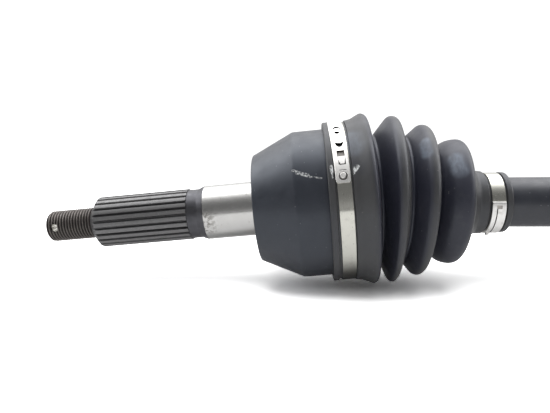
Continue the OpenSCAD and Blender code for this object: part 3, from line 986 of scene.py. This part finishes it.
def inboard_boot():
    """The plunging joint's boot in two pieces that meet in a valley."""
    meet = PLUNGE_VALLEYS[1][0]
    rubber = boot_rubber("inboard_rubber")
    cuff = boot_piece("inboard_boot_cuff", boot_loop(PLUNGE_VALLEYS, last=meet), 192)
    neck = boot_piece("inboard_boot_neck", boot_loop(PLUNGE_VALLEYS, first=meet), 192)
    for obj, bodies, span in (
        (cuff, ("gearbox_cup", "inboard_ball_set"), (PLUNGE_BEND_START, meet)),
        (neck, ("inboard_ball_set", "half_shaft"), (meet, PLUNGE_BEND_END)),
    ):
        obj.data.transform(Matrix.Scale(MM, 4) @ MIRRORED)
        obj.data.flip_normals()
        let_bend(obj, rubber, "inboard_boot")


# --- Clamps ---

def strap(name, inner, centre_x, lap_end, lap_start, tail, skew=0.0):
    """A band wound on itself: from lap_end back round to lap_start on the outer layer, then
    down to the groove and round to its hidden tail. Angles in degrees from the top; skew is
    how far the outer layer wanders along the axis, in mm."""
    ramp = 7.0
    corner = 1.1
    bevel = 0.13
    edge = math.degrees(corner / (inner + 1.5 * BAND_T))
    sweep = np.concatenate([
        lap_end - edge * (1 - np.cos(np.linspace(0, math.pi / 2, 7))),
        np.arange(lap_end - edge - 0.8, lap_start, -1.0),
        np.arange(lap_start, lap_start - ramp, -0.7),
        np.arange(lap_start - ramp, tail, -2.0),
        [tail],
    ])
    rise = np.clip((sweep - (lap_start - ramp)) / ramp, 0, 1)
    layer = inner + (BAND_T + 0.03) * rise * rise * (3 - 2 * rise)
    near_end = np.clip((sweep - (lap_end - edge)) / edge, 0, 1)
    half_width = BAND_W / 2 - corner * (1 - np.sqrt(np.clip(1 - near_end ** 2, 0, 1)))
    top = BAND_T - bevel
    rings = []
    for degrees, base, half in zip(sweep, layer, half_width):
        flat = half - bevel
        section = [(-half, bevel), (-flat, 0), (flat, 0), (half, bevel),
                   (half, top), (flat, BAND_T), (-flat, BAND_T), (-half, top)]
        middle = centre_x - np.interp(degrees, [lap_start - 40, 20, lap_end], [0, skew, 0.2 * skew])
        rings.append([on_surface(middle + s, degrees, base + h) for s, h in section])
    return mesh_object(name, *skin(np.array(rings)))


def radial_cutter(shape, centre_x, degrees, low, high):
    """Prism standing on the band: shape is (across, around) in mm, about (centre_x, degrees)."""
    middle = (low + high) / 2
    places = [(centre_x + a, degrees + math.degrees(s / middle)) for a, s in shape]
    points = np.array([[on_surface(*place, r) for place in places] for r in (low, high)])
    n = len(shape)
    faces = [[k, (k + 1) % n, n + (k + 1) % n, n + k] for k in range(n)]
    faces += [list(range(n))[::-1], list(range(n, 2 * n))]
    return mesh_object("cutter", points.reshape(-1, 3), faces)


def crescent(width, height, bite):
    """Crescent open at its start: a rounded end less a bite, in (across, around)."""
    a = np.radians(np.linspace(0, 180, 15))
    outer = [(width / 2 * math.cos(t), height * math.sin(t)) for t in a]
    inner = [(width / 2 * math.cos(t) * 0.92, bite * math.sin(t) + 0.05) for t in a[::-1]]
    return outer + inner[1:-1]


def box_shape(width, length):
    w, s = width / 2, length / 2
    return [(-w, -s), (w, -s), (w, s), (-w, s)]


def round_shape(radius):
    return [(radius * math.cos(t), radius * math.sin(t)) for t in angles(24)]


def dome(centre_x, degrees, r, radius, height):
    """A pressed boss with a flattened top, standing on radius r."""
    outline = rounded([(-0.35, radius + 0.02), (0.0, radius, 0.1), (height, radius * 0.8, 0.3),
                       (height * 1.05, 0.1)])
    out = np.array(on_surface(0, degrees, 1))
    side = np.array(on_surface(0, degrees + 90, 1))
    along = np.array([1.0, 0, 0])
    spokes = [math.cos(t) * along + math.sin(t) * side for t in angles(32)]
    rings = [[centre_x * along + (r + h) * out + across * spoke for spoke in spokes]
             for h, across in outline]
    return mesh_object("dome", *skin(np.array(rings)))


def pressed(obj, name, inner, centre_x, cuts, knob):
    """Adds a strap's cuts (finish, floor radius, holes) and its knob (shift along the axis,
    angle, depth sunk, radius, height). A hole is (shape, shift, angle)."""
    finish = band_steel(f"{name}_steel", inner + 1.5 * BAND_T)
    obj.data.materials.append(finish)
    outer = inner + 2 * BAND_T
    for steel, floor, holes in cuts:
        for shape, shift, degrees in holes:
            cutter = radial_cutter(shape, centre_x + shift, degrees, floor, outer + 1)
            cutter.data.materials.append(steel)
            obj = cut(obj, cutter)
    shift, degrees, sunk, radius, height = knob
    raised = dome(centre_x + shift, degrees, outer - sunk, radius, height)
    raised.data.materials.append(finish)
    return join(obj, raised)


# Near-black walls and floors for slots and holes: painted shade
def painted_shade_steel(name):
    return plain_steel(f"{name}_painted_shade_steel", (0.03, 0.03, 0.03), 0.6)


def fit_clamp(obj, place, body, node):
    settle(obj, place, obj.data.materials[0], body, sharp=30)
    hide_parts(node)


def large_clamp(name):
    """Lapped stainless band, hooked through its slots and locked by a pressed boss."""
    inner = GROOVE_R + 0.05
    obj = strap(name, inner, LARGE_BAND_X, *LARGE_LAP, skew=0.9)
    shallow = inner + BAND_T - 0.05
    dark = painted_shade_steel(name)
    # Grey floors for the shallow windows and the boss's recess: painted shade on the lower layer
    grey = plain_steel(f"{name}_recess_steel", (0.22, 0.21, 0.20), 0.45)
    cuts = (
        (dark, inner - 0.6, (
            ([(a, -s) for a, s in crescent(3.9, 4.4, 2.4)], -0.5, 29.3),
            (crescent(2.5, 1.3, -0.8), -0.55, 31.3),
            (crescent(3.9, 3.5, 0.9), -0.3, 41.2),
            ([(-1.6, -0.9), (-0.7, 1.4), (-1.6, 1.4)], 0, 57.4),
            ([(1.6, -2.0), (1.6, 1.4), (1.0, 1.4)], 0, 57.4),
        )),
        (dark, shallow, (
            (box_shape(2.6, 0.45), 0, 59.3),
            (box_shape(3.0, 0.25), -0.05, 63.2),
        )),
        (grey, shallow, (
            (box_shape(3.3, 0.25), -0.25, 47.0),
            (box_shape(3.4, 3.1), -0.2, 51.3),
            (round_shape(1.9), -0.15, 67.2),
        )),
    )
    boss = (-0.2, 66.7, 0.25, 1.5, 0.5)
    return pressed(obj, name, inner, LARGE_BAND_X, cuts, boss)


def small_clamp(name):
    """Small lapped band with one long slot beside its tongue."""
    inner = SMALL_GROOVE_R + 0.05
    obj = strap(name, inner, SMALL_BAND_X, *SMALL_LAP)
    # The slot follows the band round in short steps
    start, length, steps = 94.5, 73, 24
    slot = [(box_shape(0.5, 0.86), -0.9, start + length * ((k + 0.5) / steps))
            for k in range(steps)]
    retoned = plain_steel(f"{name}_recess_steel", (0.55, 0.52, 0.49), 0.5)
    cuts = (
        (painted_shade_steel(name), inner - 0.6, slot),
        (retoned, inner + 1.7 * BAND_T, [(box_shape(2.4, 1.7), 0.05, 91.5)]),
    )
    hook = (-1.6, 163.0, 0.2, 1.1, 1.3)
    return pressed(obj, name, inner, SMALL_BAND_X, cuts, hook)


# --- CAD nodes that stay ---

def finish_cad_nodes():
    bearing = plain_steel("race_steel", (0.62, 0.62, 0.61), 0.2)
    cage = phosphated_steel("cage_steel", 20, 28, (0.06, 0.06, 0.06), (0.22, 0.22, 0.22))
    spring = plain_steel("spring_steel", (0.16, 0.16, 0.165), 0.35)
    chrome = plain_steel("ball_steel", (0.8, 0.8, 0.8), 0.06, dull=0.05)
    finishes = {
        "axle_shaft": black_paint("bar_paint", tint=(1.02, 1.02, 1.05)),
        "inboard_wire_ring": spring,
        "inboard_stub_circlip": spring,
    }
    for end in ("outboard", "inboard"):
        finishes[f"{end}_cage"] = cage
        finishes[f"{end}_balls"] = chrome
        finishes[f"{end}_inner_race"] = bearing
        finishes[f"{end}_race_circlip"] = spring
        finishes[f"{end}_stop_ring"] = spring
    for name, finish in finishes.items():
        node = frame["nodes"][name]
        rest_attribute(node, coordinates(node) / MM)
        node.data.materials.clear()
        node.data.materials.append(finish)


# --- Studio ---

CAMERA_AZIMUTH = 3.87
CAMERA_ELEVATION = 8.0
CAMERA_ROLL = 0.69
# Where the outboard joint centre lies from the camera: right, up and ahead, in mm
JOINT_FROM_CAMERA = (21.863, 1.937, 253.615)
SENSOR = 36
# Focal length as a share of the picture's width
FOCAL_SHARE = 10 / 11
# Sky brightness by angle, from behind the object over the top to the camera's side
SKY = ((0, 0.6), (30, 1.05), (50, 2.4), (64, 4.0), (88, 4.0), (103, 1.5), (118, 0.45), (142, 0.18),
       (170, 0.22), (180, 0.45))
SKY_PEAK = 4.0
SKY_FILL = 0.85
KEY_POWER = 5.0
KEY_SIZE = (0.8, 0.6)
KEY_OFFSET = (-0.1, -0.35, 1.0)
SEEN_FLOOR = 2.75
REFLECTED_FLOOR = 1.15
FLOOR_SIZE = 6.0
TABLE_EDGE = 0.4
SHOWN_SKY = 1.2


def camera():
    az, el, roll = (math.radians(v) for v in (CAMERA_AZIMUTH, CAMERA_ELEVATION, CAMERA_ROLL))
    ahead = Vector((-math.sin(az) * math.cos(el), math.cos(az) * math.cos(el), -math.sin(el)))
    level = Vector((math.cos(az), math.sin(az), 0))
    upright = level.cross(ahead)
    right = level * math.cos(roll) - upright * math.sin(roll)
    up = upright * math.cos(roll) + level * math.sin(roll)
    x, y, z = JOINT_FROM_CAMERA
    eye = -(right * x + up * y + ahead * z) * MM
    data = bpy.data.cameras.new("camera")
    data.sensor_width = SENSOR
    data.lens = SENSOR * FOCAL_SHARE
    data.clip_start = 0.01
    obj = added("camera", data)
    axes = Matrix((right, up, -ahead)).transposed()
    obj.matrix_world = Matrix.Translation(eye) @ axes.to_4x4()
    bpy.context.scene.camera = obj


def white_floor(name, z, gain, far, near_edge):
    """A flat white floor; gain is its brightness, and past far (mm) it glows evenly."""
    size, near = FLOOR_SIZE, -near_edge
    points = np.array([(-size, near, z), (size, near, z), (size, size, z), (-size, size, z)])
    obj = mesh_object(name, points, [[0, 1, 2, 3]])
    rest_attribute(obj, points / MM)
    f = Finish(name)
    color = f.mix(f.times(f.noise(60), 0.03), (gain,) * 3, (0.9 * gain,) * 3)
    flat = f.node("BsdfDiffuse", {"Color": color})
    glow = f.node("Emission", {"Color": (1, 1, 1, 1), "Strength": 1.1})
    away = f.vector("LENGTH", f.rest, (0, 0, 0), "Value")
    share = f.span(away, far * 0.6, far)
    shader = f.node("MixShader", {0: share, 1: flat.outputs[0], 2: glow.outputs[0]})
    f.node("OutputMaterial", {"Surface": shader.outputs[0]})
    put_finish(obj, f.material)
    obj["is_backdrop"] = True
    return obj


def floors(low):
    """What the camera sees is overexposed white; what the object reflects is a grey card."""
    seen = white_floor("floor_seen", low - 0.0004, SEEN_FLOOR, 700, FLOOR_SIZE)
    for ray in ("diffuse", "glossy", "transmission", "shadow"):
        setattr(seen, f"visible_{ray}", False)
    reflected = white_floor("floor_reflected", low - 0.0006, REFLECTED_FLOOR, 3000, TABLE_EDGE)
    reflected.visible_camera = False


def key_light(target):
    """A soft light from above that leaves no reflection of itself."""
    data = bpy.data.lights.new("key", "AREA")
    data.shape = "RECTANGLE"
    data.size, data.size_y = KEY_SIZE
    data.energy = KEY_POWER
    obj = added("key", data)
    offset = Vector(KEY_OFFSET)
    obj.location = target + offset
    obj.rotation_mode = "QUATERNION"
    obj.rotation_quaternion = (-offset).to_track_quat("-Z", "Y")
    obj.visible_glossy = False


def sky():
    """White to the camera; in reflections a bright overhead box fading to dark in front."""
    world = bpy.data.worlds.new("studio")
    world.use_nodes = True
    g = Graph(world.node_tree)
    direction = g.node("TexCoord").outputs["Generated"]
    _, across, height = g.node("SeparateXYZ", {0: direction}).outputs
    tilt = g.math("ABSOLUTE", g.math("ARCTAN2", height, across))
    # The ramp runs from 0 at the horizon behind the object to 1 behind the camera
    ramp = g.node("ValToRGB", {0: g.math("DIVIDE", tilt, math.pi)})
    ramp.color_ramp.interpolation = "B_SPLINE"
    stops = ramp.color_ramp.elements
    for degrees, _ in SKY[1:-1]:
        stops.new(degrees / 180)
    for stop, (degrees, level) in zip(stops, SKY):
        stop.position = degrees / 180
        stop.color = opaque((level / SKY_PEAK,) * 3)
    path = g.node("LightPath")
    mirrored = g.times(ramp.outputs[0], SKY_PEAK)
    fill = g.times(g.math("MAXIMUM", height), SKY_FILL)
    soft = g.node("Mix", {0: path.outputs["Is Glossy Ray"], 2: fill, 3: mirrored})
    shown = g.node("Mix", {0: path.outputs["Is Camera Ray"], 2: soft.outputs[0], 3: SHOWN_SKY})
    background = g.node("Background", {"Color": (1, 1, 1, 1), "Strength": shown.outputs[0]})
    g.node("OutputWorld", {0: background.outputs[0]})
    world.cycles.sampling_method = "NONE"
    bpy.context.scene.world = world


def studio():
    low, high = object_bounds()
    floors(low.z)
    sky()
    key_light((low + high) / 2)
    camera()
    view = bpy.context.scene.view_settings
    view.view_transform = "Standard"
    view.exposure = 0.0


# --- Assembly ---

def build():
    thread_piece()
    wheel_spline()
    undercut()
    bearing_journal()
    bell()
    outboard_boot()
    fit_clamp(large_clamp("outboard_large_band"), STUB, "wheel_cup", "outboard_large_clamp")
    fit_clamp(small_clamp("outboard_small_band"), BAR, "half_shaft", "outboard_small_clamp")
    plunge_cup()
    gearbox_stub()
    inboard_boot()
    fit_clamp(large_clamp("inboard_large_band"), MIRRORED, "gearbox_cup", "inboard_large_clamp")
    fit_clamp(small_clamp("inboard_small_band"), MIRRORED, "half_shaft", "inboard_small_clamp")
    finish_cad_nodes()


build()
studio()
